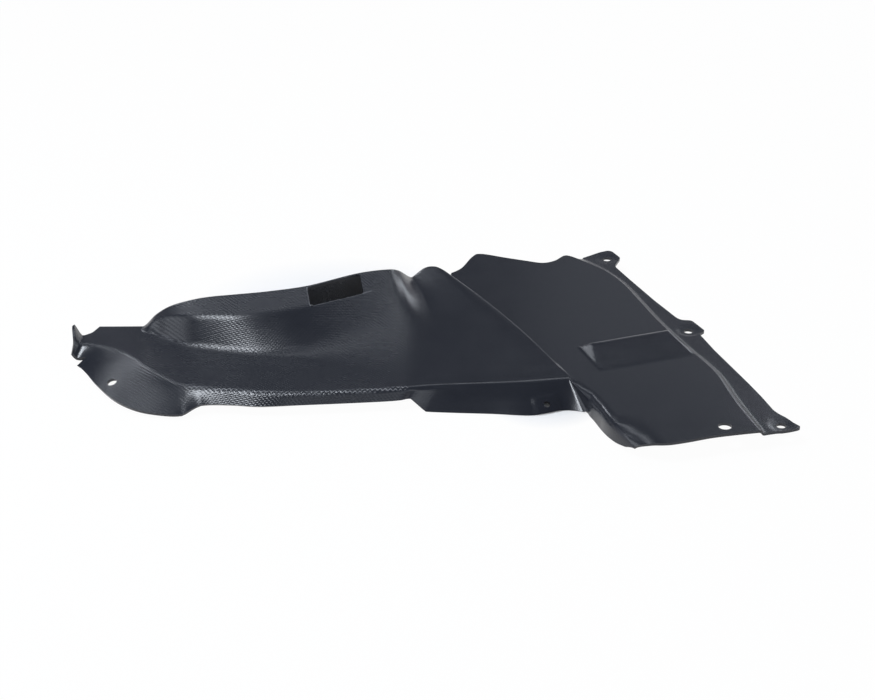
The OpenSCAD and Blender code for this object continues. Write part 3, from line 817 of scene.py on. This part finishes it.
# Studio: a white floor, a sky that is bright at the horizon and dim overhead, and soft lamps
studio = {
    "glow": 0.97, "floorColour": (0.9, 0.9, 0.9, 1), "floorHalf": 12.0, "floorDrop": 0.0004,
    "dim": [((0.105, -0.085, 0.0), 0.035), ((-0.08, 0.06, 0.0), 0.1)],  # place and reach
    "sky": [(0.0, (1.0, 1.0, 1.05, 1)), (0.1, (0.9, 0.9, 0.95, 1)),
            (0.24, (0.15, 0.155, 0.17, 1)), (0.4, (0.10, 0.105, 0.12, 1)),
            (0.6, (0.08, 0.083, 0.09, 1)), (1.0, (0.06, 0.063, 0.07, 1))],
    "lampColour": (0.88, 0.93, 1.0),
    # Place and size in metres, and power in watts
    "lamps": [((-1.7, -0.2, 0.9), (0.8, 0.8), 5.0), ((1.7, -0.2, 0.9), (0.8, 0.8), 5.0),
              ((0.0, 0.98, 1.46), (2.0, 0.26), 4.5),  # band along the mound's top
              ((0.8, 1.9, 0.98), (1.3, 0.42), 0.5),  # sheen of the flat panel
              ((-1.285, 2.15, 1.5), (0.5, 0.35), 5.0),  # left slope of the wedge
              ((-0.66, -0.27, 1.58), (0.6, 0.45), 20.0),  # slanting highlight on the mound
              ((0.83, 1.45, 0.79), (0.35, 0.35), 1.6),  # right flank of the mound
              ((0.3, -1.7, 1.2), (1.8, 0.5), 5.0)],  # front skirt
}


def floorFinish():  # white to the camera and in reflections, and still takes the shadow
    material = bpy.data.materials.new("whiteFloor")
    f = Finish(material)
    camera, glossy, through = [f.node("ShaderNodeLightPath", output=f"Is {ray} Ray")
                               for ray in ("Camera", "Glossy", "Transmission")]
    place = f.node("ShaderNodeTexCoord", output="Object")
    glow = (camera + glossy + through).clipped() * studio["glow"]
    for at, reach in studio["dim"]:  # no glow right under the skirt's bore and the cut-out
        inputs = {0: place, 1: at}
        away = f.node("ShaderNodeVectorMath", {"operation": "DISTANCE"}, inputs, "Value")
        glow = glow * (away / reach - 0.5).clipped()
    lit = f.node("ShaderNodeBsdfDiffuse", inputs={"Color": studio["floorColour"]})
    white = f.node("ShaderNodeEmission", inputs={"Color": (1, 1, 1, 1), "Strength": 1.0})
    surface = f.node("ShaderNodeMixShader", inputs={0: glow, 1: lit, 2: white})
    f.node("ShaderNodeOutputMaterial", inputs={"Surface": surface})
    return material


def studioFloor():
    half = studio["floorHalf"]
    mesh = bpy.data.meshes.new("floor")
    corners = [(-half, -half, 0), (half, -half, 0), (half, half, 0), (-half, half, 0)]
    mesh.from_pydata(corners, [], [(0, 1, 2, 3)])
    floor = placed("floor", mesh)
    floor.location.z = -studio["floorDrop"]
    floor.data.materials.append(floorFinish())


def lamp(name, at, size, power):  # a soft lamp that faces the middle of the floor
    light = bpy.data.lights.new(name, "AREA")
    light.shape, light.energy, light.color = "RECTANGLE", power, studio["lampColour"]
    light.size, light.size_y = size
    item = placed(name, light)
    item.location = at
    item.rotation_euler = (-Vector(at)).to_track_quat("-Z", "Y").to_euler()


def studioWorld():  # the sky's brightness by the height of the direction
    world = bpy.data.worlds.new("studio")
    bpy.context.scene.world = world
    f = Finish(world)
    height = f.part(f.node("ShaderNodeTexCoord", output="Generated"), 2)
    sky = f.node("ShaderNodeValToRGB", {"stops": studio["sky"]}, {0: height})
    background = f.node("ShaderNodeBackground", inputs={"Color": sky, "Strength": 1.0})
    f.node("ShaderNodeOutputWorld", inputs={"Surface": background})


studioFloor()
studioWorld()
for k, (at, size, power) in enumerate(studio["lamps"]):
    lamp(f"lamp{k}", at, size, power)

view = {"elevation": 27.0, "distance": 2.0, "lens": 93.81, "sensor": 36.0,
        "target": (0.012, -0.036, 0.023)}
camera = bpy.data.cameras.new("camera")
camera.lens, camera.sensor_width = view["lens"], view["sensor"]
cameraItem = placed("camera", camera)
tilt, target = math.radians(view["elevation"]), Vector(view["target"])
cameraItem.location = target + view["distance"] * Vector((0, -math.cos(tilt), math.sin(tilt)))
cameraItem.rotation_euler = (target - cameraItem.location).to_track_quat("-Z", "Y").to_euler()
bpy.context.scene.camera = cameraItem
bpy.context.scene.view_settings.view_transform = "Standard"
print("studio set")
